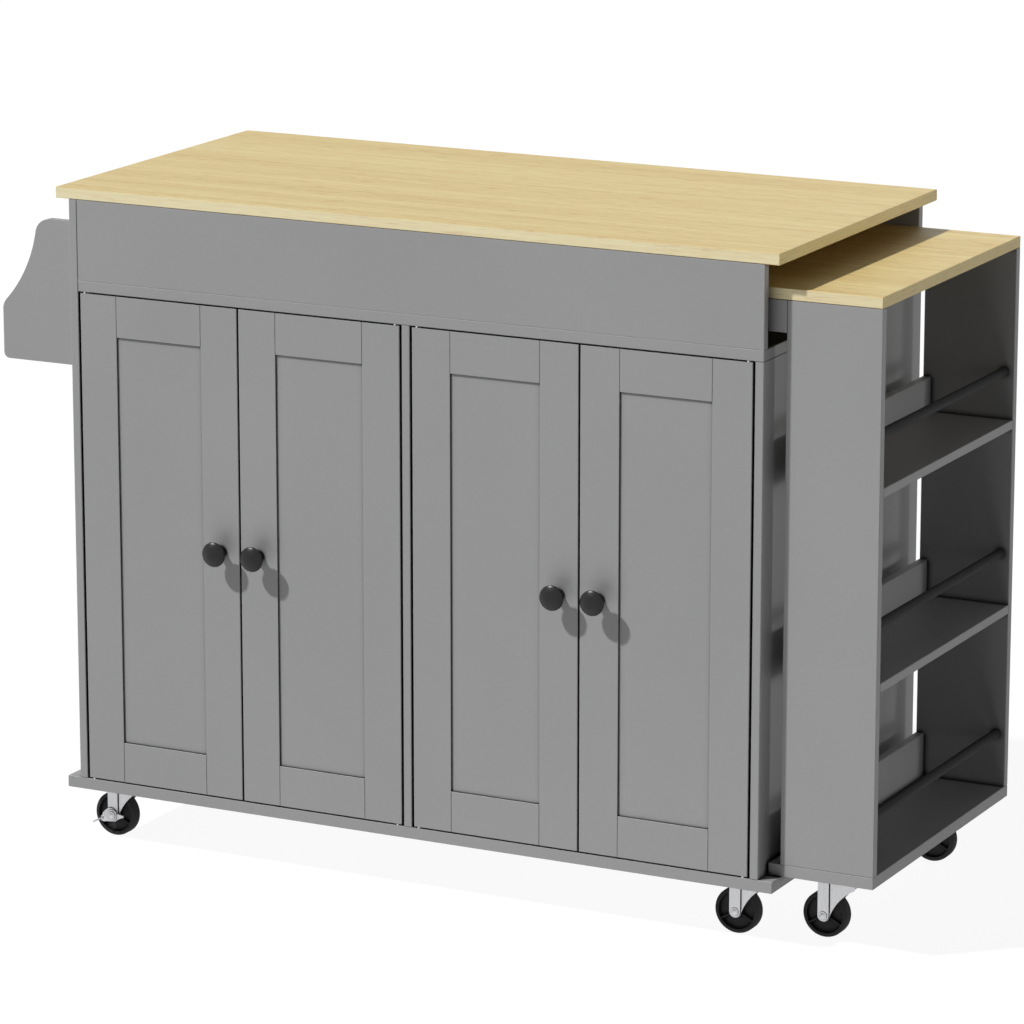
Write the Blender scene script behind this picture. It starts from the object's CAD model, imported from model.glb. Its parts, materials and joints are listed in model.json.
import json
import math
import bpy
import bmesh
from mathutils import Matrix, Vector


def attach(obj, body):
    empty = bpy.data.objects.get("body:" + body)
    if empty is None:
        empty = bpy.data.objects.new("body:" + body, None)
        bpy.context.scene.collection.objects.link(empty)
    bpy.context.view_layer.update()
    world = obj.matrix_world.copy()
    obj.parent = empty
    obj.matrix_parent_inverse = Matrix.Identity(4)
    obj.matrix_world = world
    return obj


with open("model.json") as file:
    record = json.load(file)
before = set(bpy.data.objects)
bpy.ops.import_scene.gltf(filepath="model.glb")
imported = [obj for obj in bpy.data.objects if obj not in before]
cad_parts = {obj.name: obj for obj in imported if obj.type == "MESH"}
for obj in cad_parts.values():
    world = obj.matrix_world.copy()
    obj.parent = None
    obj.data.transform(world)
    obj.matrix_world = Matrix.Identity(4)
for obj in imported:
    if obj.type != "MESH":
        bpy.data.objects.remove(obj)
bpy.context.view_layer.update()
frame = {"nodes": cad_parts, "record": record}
nodes = frame["nodes"]
MM = 0.001


def span(node):
    """The lowest and the highest corner of a CAD node, in metres."""
    points = [v.co for v in nodes[node].data.vertices]
    return [Vector([pick(p[i] for p in points) for i in range(3)]) for pick in (min, max)]


def middle(node):
    """The centre of a CAD node's box, in metres."""
    low, high = span(node)
    return (low + high) / 2


def axis_of(body):
    """The place of the joint that carries a body, in metres."""
    joints = frame["record"]["behaviour"]["joints"]
    return Vector([j for j in joints if j["child"] == body][0]["pos_m"])


# Node helpers

def add(tree, kind, x=0, y=0, **values):
    """A node at a place in its tree, with its properties set."""
    made = tree.nodes.new(kind)
    made.location = (x, y)
    for name, value in values.items():
        setattr(made, name, value)
    return made


def feed(tree, sockets, values):
    """Sets each socket to its number, or links it to its source."""
    for socket, value in zip(sockets, values):
        if isinstance(value, (int, float)):
            socket.default_value = value
        else:
            tree.links.new(value, socket)


def maths(tree, kind, *values, x=-900, y=900):
    """A number worked out from others; each is a number or a socket."""
    made = add(tree, "ShaderNodeMath", x, y, operation=kind)
    feed(tree, made.inputs, values)
    return made.outputs["Value"]


def vector_of(tree, values, x, y):
    """A vector from three numbers or sockets."""
    made = add(tree, "ShaderNodeCombineXYZ", x, y)
    feed(tree, made.inputs, values)
    return made.outputs["Vector"]


def parts_of(tree, vector, x, y):
    """The X, Y and Z of a vector."""
    made = add(tree, "ShaderNodeSeparateXYZ", x, y)
    tree.links.new(vector, made.inputs["Vector"])
    return made.outputs


def face_normal(tree, x, y):
    """The X, Y and Z of the way that the face looks."""
    geometry = add(tree, "ShaderNodeNewGeometry", x, y)
    return parts_of(tree, geometry.outputs["True Normal"], x + 100, y)


def new_finish(name):
    """An empty material with a Principled shader, and the object's own coordinates."""
    finish = bpy.data.materials.new(name)
    finish.use_nodes = True
    tree = finish.node_tree
    tree.nodes.clear()
    output = add(tree, "ShaderNodeOutputMaterial", 900)
    shader = add(tree, "ShaderNodeBsdfPrincipled", 600)
    tree.links.new(shader.outputs["BSDF"], output.inputs["Surface"])
    place = add(tree, "ShaderNodeTexCoord", -1400)
    return finish, tree, shader, place.outputs["Object"]


def stretched(tree, place, scale, x=-1000, y=0):
    """The object's coordinates scaled along each axis, so that a pattern is stretched."""
    mapping = add(tree, "ShaderNodeMapping", x, y)
    mapping.inputs["Scale"].default_value = scale
    tree.links.new(place, mapping.inputs["Vector"])
    return mapping.outputs["Vector"]


def noise(tree, place, scale, detail=4.0, roughness=0.55, distortion=0.0, x=-700, y=0):
    made = add(tree, "ShaderNodeTexNoise", x, y)
    made.inputs["Scale"].default_value = scale
    made.inputs["Detail"].default_value = detail
    made.inputs["Roughness"].default_value = roughness
    made.inputs["Distortion"].default_value = distortion
    tree.links.new(place, made.inputs["Vector"])
    return made.outputs["Fac"]


def ramp(tree, value, stops, x=-400, y=0):
    """A colour ramp from (position, colour) pairs."""
    made = add(tree, "ShaderNodeValToRGB", x, y)
    band = made.color_ramp
    while len(band.elements) < len(stops):
        band.elements.new(0.5)
    for element, (position, colour) in zip(band.elements, stops):
        element.position = position
        element.color = (*colour, 1.0)
    tree.links.new(value, made.inputs["Fac"])
    return made.outputs["Color"]


def spread(tree, value, low, high, x=-400, y=0, from_low=0.3, from_high=0.7):
    """Maps a pattern's values to the range low to high."""
    made = add(tree, "ShaderNodeMapRange", x, y)
    made.inputs["From Min"].default_value = from_low
    made.inputs["From Max"].default_value = from_high
    made.inputs["To Min"].default_value = low
    made.inputs["To Max"].default_value = high
    tree.links.new(value, made.inputs["Value"])
    return made.outputs["Result"]


def mixed(tree, blend, amount, a, b, x=0, y=0):
    """Two colours blended; amount is a number or a socket."""
    made = add(tree, "ShaderNodeMix", x, y, data_type="RGBA", blend_type=blend)
    if isinstance(amount, float):
        made.inputs["Factor"].default_value = amount
    else:
        tree.links.new(amount, made.inputs["Factor"])
    for name, value in (("A", a), ("B", b)):
        socket = [s for s in made.inputs if s.name == name and s.type == "RGBA"][0]
        if isinstance(value, tuple):
            socket.default_value = (*value, 1.0)
        else:
            tree.links.new(value, socket)
    return [s for s in made.outputs if s.type == "RGBA"][0]


def bump(tree, height, strength, distance, x=300, y=-400, under=None):
    made = add(tree, "ShaderNodeBump", x, y)
    made.inputs["Strength"].default_value = strength
    made.inputs["Distance"].default_value = distance
    tree.links.new(height, made.inputs["Height"])
    if under is not None:
        tree.links.new(under, made.inputs["Normal"])
    return made.outputs["Normal"]


def crevice(tree, reach=0.010, x=-700, y=700):
    """Darkens narrow gaps and inner corners, where dust settles and little light comes."""
    made = add(tree, "ShaderNodeAmbientOcclusion", x, y, samples=8)
    made.inputs["Distance"].default_value = reach
    levels = ((0.0, 0.0), (0.52, 0.02), (0.75, 0.62), (0.93, 1.0))
    stops = [(openness, (level, level, level)) for openness, level in levels]
    return ramp(tree, made.outputs["AO"], stops, x=x + 250, y=y)


def board_shade(tree, place):
    """The crevice shade on painted board.

    Chamfers that face upwards between base and deck catch the light beside a joint, and so does
    the joint on the deck's edge. The gaps above and below the doors keep their shade. The deck's
    top lies in the extension's dark space.
    """
    chamfer_up, chamfer_play = math.sqrt(0.5), 0.05
    flat_up = 0.95
    edge_play = 0.0015
    door_gap = 0.01
    dark_space = (0.08, 0.08, 0.08)
    deck_low, deck_high = span("deck_panel")
    base_high = span("base_panel")[1]
    mid_height = (base_high.z + deck_low.z) / 2
    half_height = (deck_low.z - base_high.z) / 2 - door_gap
    height = parts_of(tree, place, -1200, 900)["Z"]
    up = face_normal(tree, -1300, 1100)["Z"]
    sloped = maths(tree, "COMPARE", up, chamfer_up, chamfer_play)
    between = maths(tree, "COMPARE", height, mid_height, half_height)
    at_deck = maths(tree, "COMPARE", height, deck_high.z, edge_play)
    lit = maths(tree, "MAXIMUM", maths(tree, "MULTIPLY", sloped, between), at_deck)
    shade = mixed(tree, "MIX", lit, crevice(tree), (1, 1, 1), x=100, y=700)
    on_deck = maths(tree, "MULTIPLY", maths(tree, "GREATER_THAN", up, flat_up), at_deck)
    return mixed(tree, "MIX", on_deck, shade, dark_space, x=200, y=700)


# Finishes

def grey_paint():
    """Satin grey paint, sprayed on smooth board: faint clouding and a fine orange peel."""
    finish, tree, shader, place = new_finish("grey_paint")
    clouds = noise(tree, place, 3.0, 3.0, 0.5, 0.2, y=200)
    grain = noise(tree, place, 260.0, 3.0, 0.6, y=0)
    base = ramp(tree, clouds, [(0.3, (0.316, 0.317, 0.319)), (0.7, (0.336, 0.336, 0.337))], y=200)
    speckle = ramp(tree, grain, [(0.25, (0.475, 0.475, 0.475)), (0.75, (0.525, 0.525, 0.525))], y=0)
    even = mixed(tree, "OVERLAY", 0.5, base, speckle)
    shaded = mixed(tree, "MULTIPLY", 1.0, even, board_shade(tree, place), x=250, y=300)
    tree.links.new(shaded, shader.inputs["Base Color"])
    tree.links.new(spread(tree, clouds, 0.50, 0.58, y=-200), shader.inputs["Roughness"])
    shader.inputs["Specular IOR Level"].default_value = 0.35
    peel = noise(tree, place, 420.0, 2.0, 0.5, y=-400)
    tree.links.new(bump(tree, peel, 0.06, 0.0004), shader.inputs["Normal"])
    return finish


def wood():
    """Pale straight-grained hardwood under clear lacquer; on the ends the grain runs along the edge."""
    finish, tree, shader, place = new_finish("lacquered_wood")
    end_grain, long_edge = 0.9, (0.85, 0.95)
    axes = parts_of(tree, place, -1300, 200)
    turned = vector_of(tree, (axes["Y"], axes["X"], axes["Z"]), -1200, 200)
    facing = face_normal(tree, -1400, 500)
    end_facing = maths(tree, "ABSOLUTE", facing["X"], x=-1200, y=500)
    at_end = maths(tree, "GREATER_THAN", end_facing, end_grain, x=-1100, y=500)
    along = add(tree, "ShaderNodeMix", -1000, 300, data_type="VECTOR")
    vectors = [s for s in along.inputs if s.type == "VECTOR" and s.name in ("A", "B")]
    tree.links.new(at_end, along.inputs["Factor"])
    tree.links.new(place, vectors[0])
    tree.links.new(turned, vectors[1])
    grain_way = [s for s in along.outputs if s.type == "VECTOR"][0]

    bands = noise(tree, stretched(tree, grain_way, (0.5, 30, 30), y=400), 1.0, 3.0, 0.5, 0.3, y=400)
    streaks = noise(tree, stretched(tree, grain_way, (6.0, 230, 230), y=150), 1.0, 4.0, 0.65, 0.15, y=150)
    fibres = noise(tree, stretched(tree, grain_way, (28.0, 400, 400), y=-100), 1.0, 2.0, 0.6, y=-100)
    pores = noise(tree, stretched(tree, grain_way, (40.0, 1500, 1500), y=-350), 1.0, 1.0, 0.5, y=-350)
    tone = ramp(tree, bands, [(0.28, (0.672, 0.500, 0.200)), (0.5, (0.735, 0.575, 0.252)),
                              (0.72, (0.775, 0.630, 0.300))], y=400)
    lines = ramp(tree, streaks, [(0.32, (0.36, 0.345, 0.32)), (0.5, (0.5, 0.5, 0.5)),
                                 (0.72, (0.56, 0.56, 0.57))], y=150)
    hairs = ramp(tree, fibres, [(0.34, (0.24, 0.23, 0.19)), (0.43, (0.51, 0.51, 0.51)),
                                (0.7, (0.56, 0.56, 0.56))], y=-100)
    dots = ramp(tree, pores, [(0.27, (0.62, 0.56, 0.46)), (0.36, (1, 1, 1))], y=-350)
    colour = mixed(tree, "OVERLAY", 0.8, tone, lines, y=300)
    colour = mixed(tree, "OVERLAY", 0.6, colour, hairs, x=150, y=200)
    colour = mixed(tree, "MULTIPLY", 0.5, colour, dots, x=300, y=100)
    edge_facing = maths(tree, "ABSOLUTE", facing["Y"], x=-1100, y=650)
    edge = spread(tree, edge_facing, 0.0, 1.0, x=-900, y=650, from_low=long_edge[0], from_high=long_edge[1])
    paler = mixed(tree, "MIX", edge, (0, 0, 0), (0.48, 0.44, 0.30), x=-700, y=650)
    paler = mixed(tree, "MIX", at_end, paler, (0.30, 0.31, 0.22), x=-600, y=650)
    colour = mixed(tree, "SCREEN", 1.0, colour, paler, x=400, y=300)
    warmer = mixed(tree, "MIX", at_end, (1, 1, 1), (1.0, 0.95, 0.80), x=-700, y=850)
    colour = mixed(tree, "MULTIPLY", 1.0, colour, warmer, x=450, y=450)
    shaded = mixed(tree, "MULTIPLY", 1.0, colour, crevice(tree, y=1100), x=500, y=300)
    tree.links.new(shaded, shader.inputs["Base Color"])
    tree.links.new(spread(tree, streaks, 0.46, 0.56, y=-600), shader.inputs["Roughness"])
    relief = bump(tree, pores, 0.10, 0.0003, x=150, y=-500)
    tree.links.new(bump(tree, fibres, 0.08, 0.0004, under=relief), shader.inputs["Normal"])
    shader.inputs["Specular IOR Level"].default_value = 0.3
    shader.inputs["Coat Weight"].default_value = 0.05
    shader.inputs["Coat Roughness"].default_value = 0.3
    return finish


def black_enamel():
    """Satin black enamel on a cast knob."""
    finish, tree, shader, place = new_finish("black_enamel")
    clouds = noise(tree, place, 90.0, 4.0, y=150)
    base = ramp(tree, clouds, [(0.3, (0.006, 0.006, 0.007)), (0.7, (0.011, 0.011, 0.012))], y=150)
    tree.links.new(base, shader.inputs["Base Color"])
    tree.links.new(spread(tree, clouds, 0.26, 0.31), shader.inputs["Roughness"])
    shader.inputs["Specular IOR Level"].default_value = 0.3
    peel = noise(tree, place, 700.0, 2.0, y=-300)
    tree.links.new(bump(tree, peel, 0.08, 0.0003), shader.inputs["Normal"])
    return finish


def rod_enamel():
    """Dark grey powder coat on the guard rods, a little worn along their length."""
    finish, tree, shader, place = new_finish("rod_enamel")
    wear = noise(tree, stretched(tree, place, (300, 12, 300)), 1.0, 4.0, 0.6, y=150)
    base = ramp(tree, wear, [(0.3, (0.012, 0.012, 0.013)), (0.7, (0.019, 0.019, 0.020))], y=150)
    tree.links.new(base, shader.inputs["Base Color"])
    tree.links.new(spread(tree, wear, 0.64, 0.76), shader.inputs["Roughness"])
    shader.inputs["Specular IOR Level"].default_value = 0.12
    peel = noise(tree, place, 600.0, 2.0, y=-300)
    tree.links.new(bump(tree, peel, 0.06, 0.0003), shader.inputs["Normal"])
    return finish


def wheel_plastic():
    """Moulded black nylon with a dull, scuffed running surface."""
    finish, tree, shader, place = new_finish("wheel_plastic")
    clouds = noise(tree, place, 60.0, 4.0, y=150)
    scuffs = noise(tree, stretched(tree, place, (240, 900, 240), y=-100), 1.0, 3.0, 0.6, y=-100)
    base = ramp(tree, clouds, [(0.3, (0.028, 0.028, 0.029)), (0.7, (0.039, 0.039, 0.040))], y=150)
    dust = ramp(tree, scuffs, [(0.55, (0, 0, 0)), (0.8, (0.03, 0.03, 0.029))], y=-100)
    dusty = mixed(tree, "ADD", 0.5, base, dust)
    shaded = mixed(tree, "MULTIPLY", 1.0, dusty, crevice(tree, 0.006), x=250, y=300)
    tree.links.new(shaded, shader.inputs["Base Color"])
    tree.links.new(spread(tree, clouds, 0.74, 0.84, y=-350), shader.inputs["Roughness"])
    shader.inputs["Specular IOR Level"].default_value = 0.12
    tree.links.new(bump(tree, scuffs, 0.07, 0.0004), shader.inputs["Normal"])
    return finish


def zinc():
    """Bright zinc plate on pressed steel: rolled grain, faint spangle."""
    finish, tree, shader, place = new_finish("zinc_plate")
    spangle = noise(tree, place, 620.0, 4.0, 0.6, 0.6, y=200)
    rolled = noise(tree, stretched(tree, place, (900, 900, 45), y=-50), 1.0, 3.0, 0.6, y=-50)
    base = ramp(tree, spangle, [(0.3, (0.52, 0.525, 0.535)), (0.7, (0.62, 0.62, 0.63))], y=200)
    brushed = ramp(tree, rolled, [(0.3, (0.42, 0.42, 0.42)), (0.7, (0.56, 0.56, 0.56))], y=-50)
    plated = mixed(tree, "OVERLAY", 0.7, base, brushed)
    shaded = mixed(tree, "MULTIPLY", 1.0, plated, crevice(tree, 0.002), x=250, y=300)
    tree.links.new(shaded, shader.inputs["Base Color"])
    tree.links.new(spread(tree, rolled, 0.40, 0.54, y=-250), shader.inputs["Roughness"])
    tree.links.new(bump(tree, rolled, 0.06, 0.0002), shader.inputs["Normal"])
    shader.inputs["Metallic"].default_value = 0.75
    return finish


def nylon():
    """White moulded nylon."""
    finish, tree, shader, place = new_finish("white_nylon")
    clouds = noise(tree, place, 120.0, 3.0, y=150)
    base = ramp(tree, clouds, [(0.3, (0.74, 0.74, 0.71)), (0.7, (0.82, 0.82, 0.80))], y=150)
    tree.links.new(base, shader.inputs["Base Color"])
    tree.links.new(spread(tree, clouds, 0.38, 0.50), shader.inputs["Roughness"])
    tree.links.new(bump(tree, clouds, 0.05, 0.0002), shader.inputs["Normal"])
    shader.inputs["Subsurface Weight"].default_value = 0.05
    return finish


finish_of = {
    "grey_board": grey_paint(),
    "wood_top": wood(),
    "knob_black": black_enamel(),
    "rod_dark": rod_enamel(),
    "wheel_black": wheel_plastic(),
    "zinc_steel": zinc(),
    "white_nylon": nylon(),
}
for entry in frame["record"]["subparts"]:
    mesh = nodes[entry["node"]].data
    if not mesh.materials:
        mesh.materials.append(None)
    for i in range(len(mesh.materials)):
        mesh.materials[i] = finish_of[entry["material_slot"]]


# Screws, strike plates and foot tabs

def screw_tree():
    """Puts a pan-head screw with a cross recess on every point, turned the way the point says."""
    tree = bpy.data.node_groups.new("pan_head_screws", "GeometryNodeTree")
    face = tree.interface
    face.new_socket("Points", in_out="INPUT", socket_type="NodeSocketGeometry")
    for name, value in (("Head radius", 0.004), ("Head height", 0.0018), ("Recess width", 0.001)):
        socket = face.new_socket(name, in_out="INPUT", socket_type="NodeSocketFloat")
        socket.default_value = value
    face.new_socket("Finish", in_out="INPUT", socket_type="NodeSocketMaterial")
    face.new_socket("Screws", in_out="OUTPUT", socket_type="NodeSocketGeometry")
    bar_length, bar_rise = 1.05, 0.95
    given = add(tree, "NodeGroupInput", -1200)
    out = add(tree, "NodeGroupOutput", 1200)

    radius = given.outputs["Head radius"]
    height = given.outputs["Head height"]
    width = given.outputs["Recess width"]
    head = add(tree, "GeometryNodeMeshUVSphere", -900, 300)
    head.inputs["Segments"].default_value = 24
    head.inputs["Rings"].default_value = 16
    tree.links.new(radius, head.inputs["Radius"])
    flatness = maths(tree, "DIVIDE", height, radius, x=-1050, y=100)
    flat = vector_of(tree, (1.0, 1.0, flatness), -900, 100)
    press = add(tree, "GeometryNodeTransform", -700, 300)
    tree.links.new(head.outputs["Mesh"], press.inputs["Geometry"])
    tree.links.new(flat, press.inputs["Scale"])
    cutters = []
    for turn in (0.0, math.pi / 2):
        level = -100 - 200 * turn
        length = maths(tree, "MULTIPLY", radius, bar_length, x=-1050, y=level - 50)
        bar = add(tree, "GeometryNodeMeshCube", -700, level)
        tree.links.new(vector_of(tree, (length, width, height), -900, level), bar.inputs["Size"])
        rise = maths(tree, "MULTIPLY", height, bar_rise, x=-850, y=level - 200)
        lift = vector_of(tree, (0.0, 0.0, rise), -700, level - 150)
        place = add(tree, "GeometryNodeTransform", -500, level)
        tree.links.new(bar.outputs["Mesh"], place.inputs["Geometry"])
        tree.links.new(lift, place.inputs["Translation"])
        place.inputs["Rotation"].default_value = (0, 0, turn)
        cutters.append(place.outputs["Geometry"])
    cut = add(tree, "GeometryNodeMeshBoolean", -250, 200, operation="DIFFERENCE")
    tree.links.new(press.outputs["Geometry"], cut.inputs["Mesh 1"])
    for cutter in cutters:
        tree.links.new(cutter, cut.inputs["Mesh 2"])
    points = add(tree, "GeometryNodeMeshToPoints", -250, 0)
    tree.links.new(given.outputs["Points"], points.inputs["Mesh"])
    way = add(tree, "GeometryNodeInputNamedAttribute", -250, -200, data_type="FLOAT_VECTOR")
    way.inputs["Name"].default_value = "facing"
    turn_to = add(tree, "FunctionNodeAlignRotationToVector", 0, -200, axis="Z")
    tree.links.new(way.outputs["Attribute"], turn_to.inputs["Vector"])
    put = add(tree, "GeometryNodeInstanceOnPoints", 300, 100)
    tree.links.new(points.outputs["Points"], put.inputs["Points"])
    tree.links.new(cut.outputs["Mesh"], put.inputs["Instance"])
    tree.links.new(turn_to.outputs["Rotation"], put.inputs["Rotation"])
    real = add(tree, "GeometryNodeRealizeInstances", 600, 100)
    tree.links.new(put.outputs["Instances"], real.inputs["Geometry"])
    coat = add(tree, "GeometryNodeSetMaterial", 900, 100)
    tree.links.new(real.outputs["Geometry"], coat.inputs["Geometry"])
    tree.links.new(given.outputs["Finish"], coat.inputs["Material"])
    tree.links.new(coat.outputs["Geometry"], out.inputs["Screws"])
    return tree


def carried(name, mesh, body):
    """A new piece that rides with a body and has its slot's finish."""
    piece = bpy.data.objects.new(name, mesh)
    bpy.context.scene.collection.objects.link(piece)
    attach(piece, body)


def carried_shape(name, work, body, slot):
    """A piece from a finished bmesh."""
    mesh = bpy.data.meshes.new(name)
    work.to_mesh(mesh)
    work.free()
    mesh.materials.append(finish_of[slot])
    carried(name, mesh, body)


def placed_by(tree, name, spots, body, slot, **sizes):
    """Runs a Geometry Nodes tree on points with a facing each, and keeps the result as a plain mesh."""
    mesh = bpy.data.meshes.new(name + "_points")
    mesh.from_pydata([spot[0] for spot in spots], [], [])
    facing = mesh.attributes.new("facing", "FLOAT_VECTOR", "POINT")
    for i, spot in enumerate(spots):
        facing.data[i].vector = spot[1]
    carrier = bpy.data.objects.new(name + "_carrier", mesh)
    bpy.context.scene.collection.objects.link(carrier)
    modifier = carrier.modifiers.new("make", "NODES")
    modifier.node_group = tree
    for item in tree.interface.items_tree:
        if item.in_out != "INPUT":
            continue
        key = item.name.lower().replace(" ", "_")
        if key in sizes:
            modifier[item.identifier] = sizes[key]
        elif item.name == "Finish":
            modifier[item.identifier] = finish_of[slot]
    graph = bpy.context.evaluated_depsgraph_get()
    made = bpy.data.meshes.new_from_object(carrier.evaluated_get(graph))
    made.name = name
    bpy.data.objects.remove(carrier)
    carried(name, made, body)


def strike_plate(name, spot, body):
    """A steel plate with round corners on a door's back, which the magnetic catch holds."""
    width, height, thick, corner, ease = 0.018, 0.024, 0.0012, 0.003, 0.0003
    work = bmesh.new()
    bmesh.ops.create_cube(work, size=1.0)
    bmesh.ops.scale(work, vec=(width, thick, height), verts=work.verts)
    upright = [e for e in work.edges if abs(e.verts[0].co.y - e.verts[1].co.y) > thick / 2]
    bmesh.ops.bevel(work, geom=upright, offset=corner, segments=4, affect="EDGES")
    outer = [e for e in work.edges if min(v.co.y for v in e.verts) > thick / 2 - ease / 4]
    bmesh.ops.bevel(work, geom=outer, offset=ease, segments=2, affect="EDGES")
    bmesh.ops.translate(work, vec=spot + Vector((0, thick / 2, 0)), verts=work.verts)
    carried_shape(name, work, body, "zinc_steel")


def foot_lip(name, pedal, side):
    """The tab on the end of a brake pedal's long wing: it bends outwards and down, for the foot.

    The three places that its middle line bends through are in mm from the axle.
    """
    width, thick, ease, steps = 0.0036, 0.0011, 0.0003, 16
    bend = ((-14.0, 0.9, -4.6), (-15.4, 7.5, -4.8), (-21.5, 16.0, -8.0))
    root, knee, tip = (Vector(p) * MM for p in bend)
    work = bmesh.new()
    rings = []
    for i in range(steps + 1):
        t = i / steps
        spot = root * (1 - t) ** 2 + knee * 2 * t * (1 - t) + tip * t ** 2
        along = ((knee - root) * (1 - t) + (tip - knee) * t).normalized()
        across = (Vector((1, 0, 0)) - along * along.x).normalized()
        up = across.cross(along)
        to_end = min((1 - t) * (tip - root).length + ease, width / 2)
        half = math.sqrt((width / 2) ** 2 - (width / 2 - to_end) ** 2)
        flat = thick / 2
        outline = ((half, flat - ease), (half - ease, flat), (ease - half, flat), (-half, flat - ease),
                   (-half, ease - flat), (ease - half, -flat), (half - ease, -flat), (half, ease - flat))
        rings.append([work.verts.new(spot + across * a + up * b) for a, b in outline])
    for first, second in zip(rings, rings[1:]):
        for k in range(len(first)):
            work.faces.new((first[k - 1], first[k], second[k], second[k - 1]))
    work.faces.new(rings[0])
    work.faces.new(rings[-1])
    bmesh.ops.scale(work, vec=(1, side, 1), verts=work.verts)
    bmesh.ops.translate(work, vec=axis_of(pedal), verts=work.verts)
    bmesh.ops.recalc_face_normals(work, faces=work.faces)
    carried_shape(name, work, pedal, "zinc_steel")


DOWN, BACK, FRONT, RIGHT = (0, 0, -1), (0, 1, 0), (0, -1, 0), (1, 0, 0)
screws = screw_tree()


def caster_screws(name, body, base, casters):
    """Four screws in each caster's top plate, under the base board."""
    plate_thick, half_pitch = 2.5 * MM, 18 * MM
    height = span(base)[0].z - plate_thick
    spots = []
    for caster in casters:
        centre = axis_of(caster)
        for dx in (-half_pitch, half_pitch):
            for dy in (-half_pitch, half_pitch):
                spots.append(((centre.x + dx, centre.y + dy, height), DOWN))
    placed_by(screws, name, spots, body, "zinc_steel", head_radius=0.0042, head_height=0.0020,
              recess_width=0.0010)


def slide_screws(name, body, front_y, rear_y, front_way, rear_way, head_height):
    """Screws along a drawer slide's outer or inner members, four on each side."""
    slide_low, slide_high = span("slide_channels")
    height = (slide_low.z + slide_high.z) / 2
    holes = [slide_low.x + step * MM for step in (20, 140, 270, 420)]
    spots = [((x, y, height), way) for x in holes for y, way in ((front_y, front_way), (rear_y, rear_way))]
    placed_by(screws, name, spots, body, "zinc_steel", head_radius=0.0036, head_height=head_height,
              recess_width=0.0008)


def board_screws():
    """Screws up through the base into the upright boards, and through the left side into the brackets."""
    front = span("main_top")[0].y
    base = span("base_panel")[0].z
    uprights = ("left_side_panel", "centre_partition", "right_side_panel")
    rows = [front + step * MM for step in (120, 257, 395)]
    spots = [((middle(board).x, row, base), DOWN) for board in uprights for row in rows]
    placed_by(screws, "base_screws", spots, "cabinet", "zinc_steel", head_radius=0.0040,
              head_height=0.0008, recess_width=0.0011)
    inside = span("left_side_panel")[1].x
    spots = []
    for bracket in ("spice_bracket_front", "spice_bracket_rear"):
        foot = span(bracket)[0].z
        for rise in (22, 72):
            spots.append(((inside, middle(bracket).y, foot + rise * MM), RIGHT))
    placed_by(screws, "bracket_screws", spots, "cabinet", "zinc_steel", head_radius=0.0038,
              head_height=0.0016, recess_width=0.0009)


def door_metal(number):
    """A door's knob bolt, and its strike plate near the meeting edge, held by one screw."""
    to_strike, below_top, to_screw, plate_thick = 17 * MM, 12 * MM, 7 * MM, 1.2 * MM
    body = "door_%d" % number
    knob = middle(body + "_knob")
    door_high = span(body + "_frame")[1]
    inwards = 1 if number in (1, 3) else -1
    placed_by(screws, "knob_bolt_%d" % number, [((knob.x, door_high.y, knob.z), BACK)], body, "zinc_steel",
              head_radius=0.0048, head_height=0.0026, recess_width=0.0011)
    spot = Vector((knob.x + inwards * to_strike, door_high.y, door_high.z - below_top))
    strike_plate("strike_plate_%d" % number, spot, body)
    placed_by(screws, "strike_screw_%d" % number, [(spot + Vector((0, plate_thick, -to_screw)), BACK)], body,
              "zinc_steel", head_radius=0.0026, head_height=0.0010, recess_width=0.0007)


sheet = 1.2 * MM
channel_low, channel_high = span("slide_channels")
caster_screws("caster_screws", "cabinet", "base_panel",
              ["caster_" + place for place in ("front_left", "rear_left", "front_right", "rear_right")])
caster_screws("rack_caster_screws", "extension", "rack_base", ["caster_rack_front", "caster_rack_rear"])
slide_screws("channel_screws", "cabinet", channel_low.y + sheet, channel_high.y - sheet, BACK, FRONT, 0.00025)
slide_screws("rail_screws", "extension", span("apron_front")[0].y - sheet, span("apron_rear")[1].y + sheet,
             FRONT, BACK, 0.0005)
board_screws()
for number in (1, 2, 3, 4):
    door_metal(number)
foot_lip("foot_lip_front", "brake_front_left", -1)
foot_lip("foot_lip_rear", "brake_rear_left", 1)


# Floor, light and camera

def seen_rays(tree):
    """One for the camera's own rays and for those in a gloss or behind glass, and nothing for the rest."""
    ray = add(tree, "ShaderNodeLightPath", -700, -300)
    seen = ray.outputs["Is Camera Ray"]
    for i, name in enumerate(("Is Glossy Ray", "Is Transmission Ray")):
        seen = maths(tree, "MAXIMUM", seen, ray.outputs[name], x=-500 + 180 * i, y=-300)
    return seen


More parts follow.
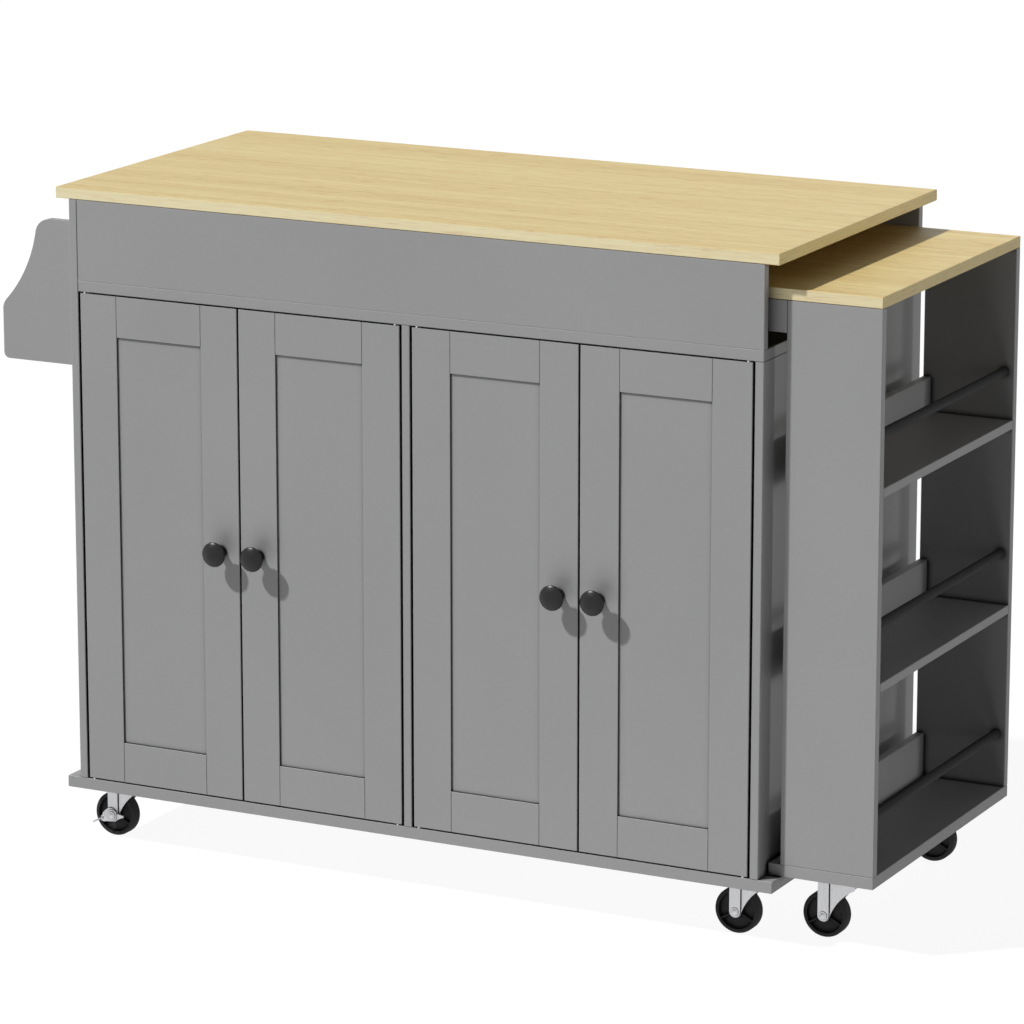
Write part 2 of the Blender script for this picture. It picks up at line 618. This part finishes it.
def floor():
    """A pale floor that keeps a soft shadow of the object and is white elsewhere to the camera.

    The bounce lamp stands below it, as the light that a white studio floor throws back,
    so the floor casts no shadow of its own.
    """
    mesh = bpy.data.meshes.new("floor")
    reach, low = 40.0, -0.0005
    seen_grey, bounce_grey, glow_strength = 0.11, 0.12, 0.925
    corners = [(-reach, -reach, low), (reach, -reach, low), (reach, reach, low), (-reach, reach, low)]
    mesh.from_pydata(corners, [], [(0, 1, 2, 3)])
    ground = bpy.data.objects.new("floor", mesh)
    bpy.context.scene.collection.objects.link(ground)
    finish = bpy.data.materials.new("pale_floor")
    finish.use_nodes = True
    tree = finish.node_tree
    tree.nodes.clear()
    output = add(tree, "ShaderNodeOutputMaterial", 600)
    lit = add(tree, "ShaderNodeBsdfDiffuse", -100, 200)
    lit.inputs["Color"].default_value = (seen_grey, seen_grey, seen_grey, 1)
    glow = add(tree, "ShaderNodeEmission", -100, 50)
    glow.inputs["Strength"].default_value = glow_strength
    seen = add(tree, "ShaderNodeAddShader", 100, 100)
    tree.links.new(lit.outputs["BSDF"], seen.inputs[0])
    tree.links.new(glow.outputs["Emission"], seen.inputs[1])
    bounced = add(tree, "ShaderNodeBsdfDiffuse", 100, -100)
    bounced.inputs["Color"].default_value = (bounce_grey, bounce_grey, bounce_grey, 1)
    pick = add(tree, "ShaderNodeMixShader", 300)
    tree.links.new(seen_rays(tree), pick.inputs["Fac"])
    tree.links.new(bounced.outputs["BSDF"], pick.inputs[1])
    tree.links.new(seen.outputs["Shader"], pick.inputs[2])
    tree.links.new(pick.outputs["Shader"], output.inputs["Surface"])
    mesh.materials.append(finish)
    ground.visible_shadow = False


def surroundings():
    """White to the camera and in reflections, dim for the light that falls on the object."""
    white_strength, dim_strength = 1.0, 0.075
    world = bpy.data.worlds.new("studio")
    bpy.context.scene.world = world
    world.use_nodes = True
    tree = world.node_tree
    tree.nodes.clear()
    output = add(tree, "ShaderNodeOutputWorld", 600)
    white = add(tree, "ShaderNodeBackground", 0, 100)
    white.inputs["Color"].default_value = (1, 1, 1, 1)
    white.inputs["Strength"].default_value = white_strength
    dim = add(tree, "ShaderNodeBackground", 0, -100)
    dim.inputs["Strength"].default_value = dim_strength
    pick = add(tree, "ShaderNodeMixShader", 300)
    tree.links.new(seen_rays(tree), pick.inputs["Fac"])
    tree.links.new(dim.outputs["Background"], pick.inputs[1])
    tree.links.new(white.outputs["Background"], pick.inputs[2])
    tree.links.new(pick.outputs["Shader"], output.inputs["Surface"])


def sun(name, towards, strength, width):
    """Light from one side: towards points at the lamp, width is its apparent size in degrees."""
    distance = 5
    data = bpy.data.lights.new(name, "SUN")
    data.energy = strength
    data.angle = math.radians(width)
    thing = bpy.data.objects.new(name, data)
    thing.location = Vector(towards).normalized() * distance
    thing.rotation_euler = Vector(towards).to_track_quat("Z", "Y").to_euler()
    bpy.context.scene.collection.objects.link(thing)


def camera():
    """The photograph's viewpoint, solved from the cabinet's edges."""
    lens_mm, sensor_mm = 178.887, 36.0
    turn_deg, down_deg = 26.940, 13.724
    eye = (3.0431, -5.9553, 2.1072)
    data = bpy.data.cameras.new("photo_view")
    data.sensor_width = sensor_mm
    data.lens = lens_mm
    data.clip_end = 100.0
    view = bpy.data.objects.new("photo_view", data)
    view.location = eye
    view.rotation_euler = (math.radians(90 - down_deg), 0, math.radians(turn_deg))
    bpy.context.scene.collection.objects.link(view)
    bpy.context.scene.camera = view


floor()
surroundings()
sun("key", towards=(-0.49, -0.45, 0.745), strength=3.10, width=2.5)
sun("floor_bounce", towards=(-0.25, -0.75, -0.60), strength=2.15, width=60)
sun("back_fill", towards=(-0.15, 0.99, 0.0), strength=1.5, width=20)
sun("side_fill", towards=(0.90, -0.42, 0.0), strength=0.24, width=30)
sun("end_fill", towards=(0.985, 0.16, 0.0), strength=0.55, width=10)
camera()
bpy.context.scene.view_settings.view_transform = "Standard"
